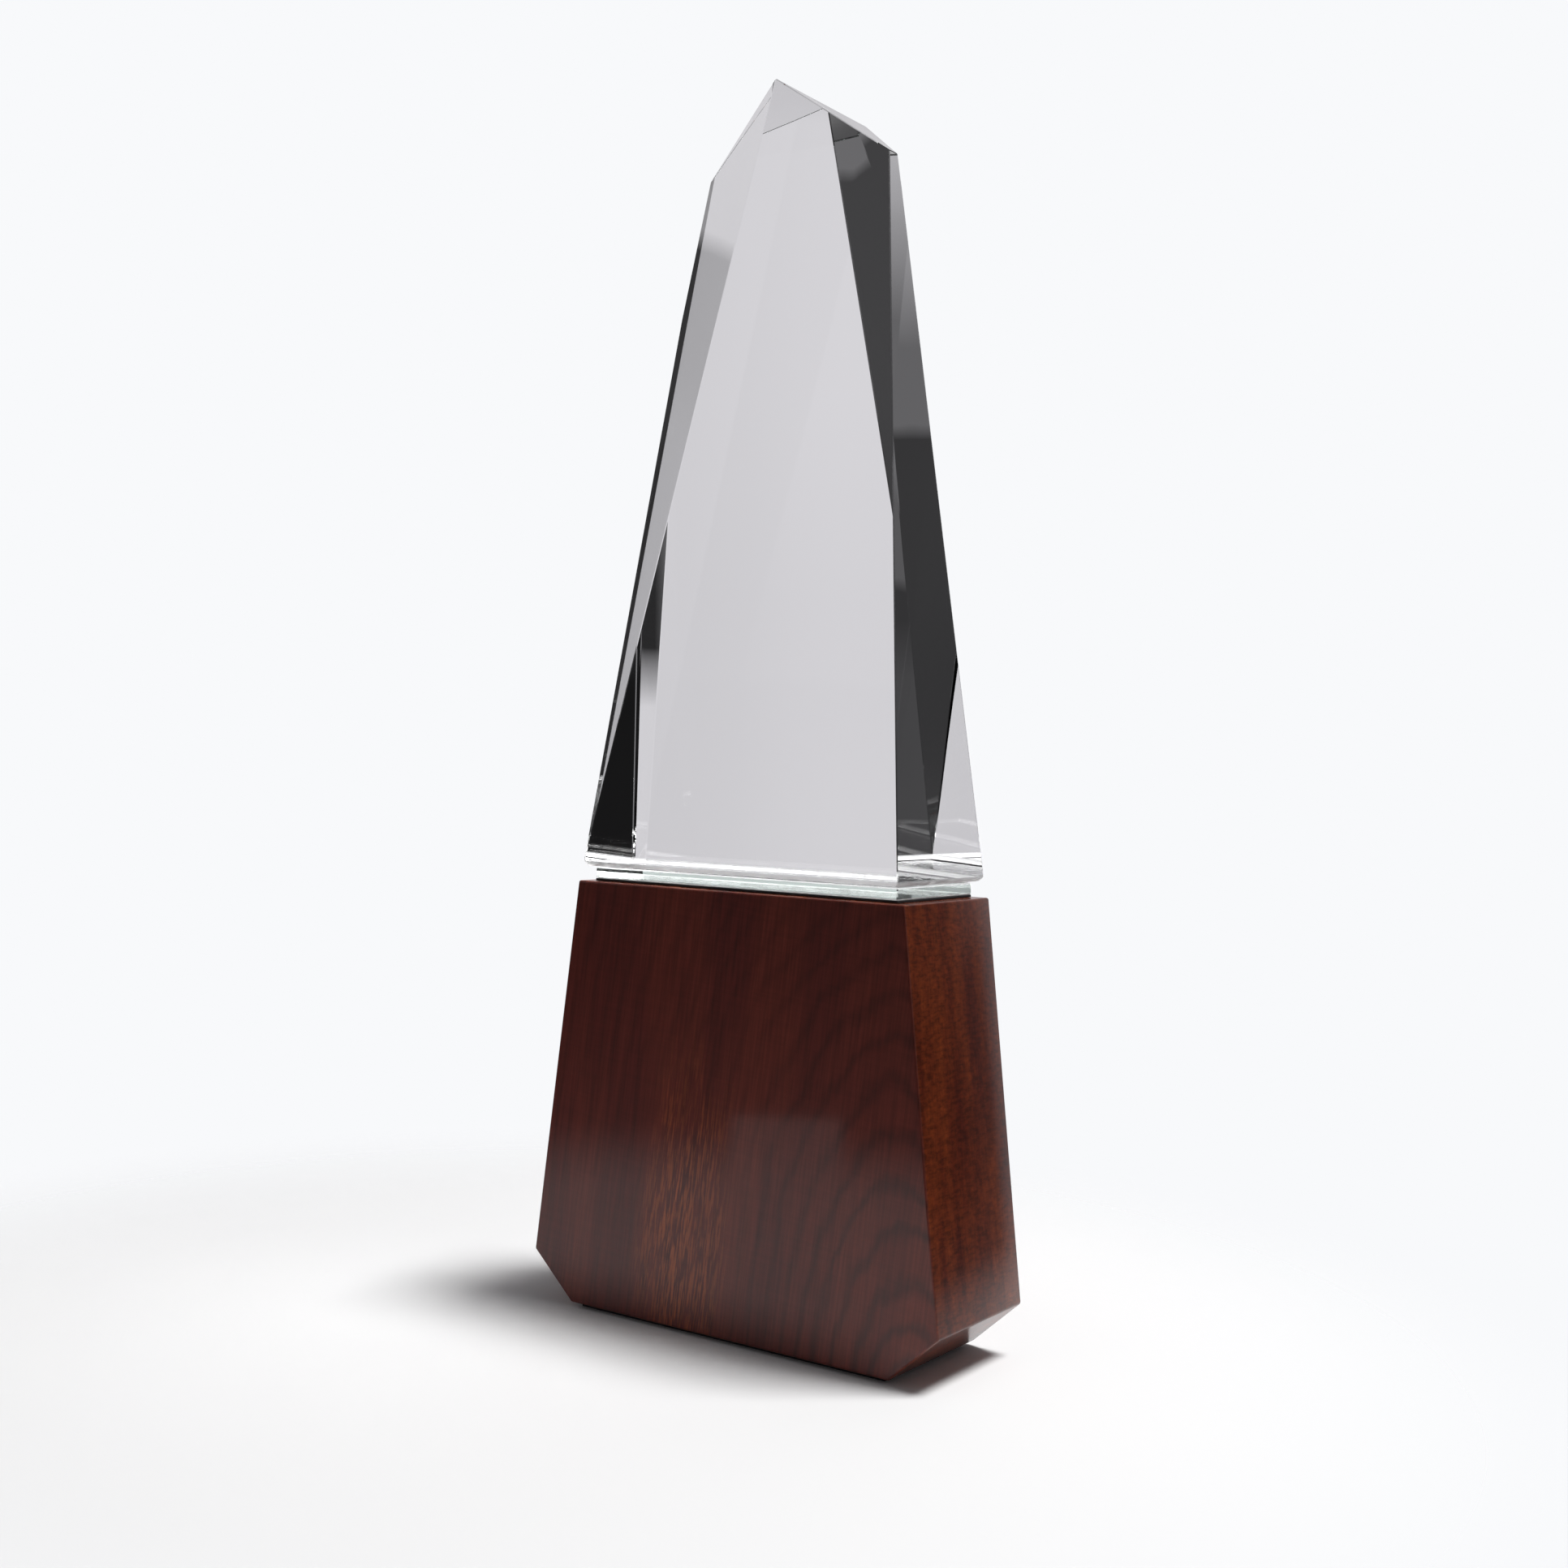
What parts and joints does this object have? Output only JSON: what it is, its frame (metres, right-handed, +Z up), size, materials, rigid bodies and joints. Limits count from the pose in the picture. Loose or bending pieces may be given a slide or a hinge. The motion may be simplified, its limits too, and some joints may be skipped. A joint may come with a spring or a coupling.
{
  "type": "crystal award",
  "caption": "Tall faceted crystal obelisk with a slanted peak, bonded through a clear riser plate to a hexagonal hardwood block.",
  "frame": {"origin": "centre of the underside of the felt pad, under the middle of the block", "axes": "+Z up along the height, +X across the width to the right seen from the front, -Y towards the front face, so Y is the thickness"},
  "size_m": [0.1186, 0.039, 0.2959],
  "materials": {
    "crystal": "optical crystal, ground flat and polished, clear and colourless",
    "bond_film": "cured clear adhesive with flow ripples",
    "riser_glass": "clear float glass with a faint green edge, polished",
    "mounting_tape": "black double-sided foam tape, matt",
    "lacquered_wood": "red-brown stained hardwood under a satin to gloss lacquer",
    "felt": "black felt"
  },
  "bodies": {
    "root": {"crystal_obelisk": "crystal", "crystal_bond_film": "bond_film", "glass_riser_plate": "riser_glass", "riser_mounting_tape": "mounting_tape", "wood_base_block": "lacquered_wood", "base_felt_pad": "felt"}
  },
  "joints": []
}
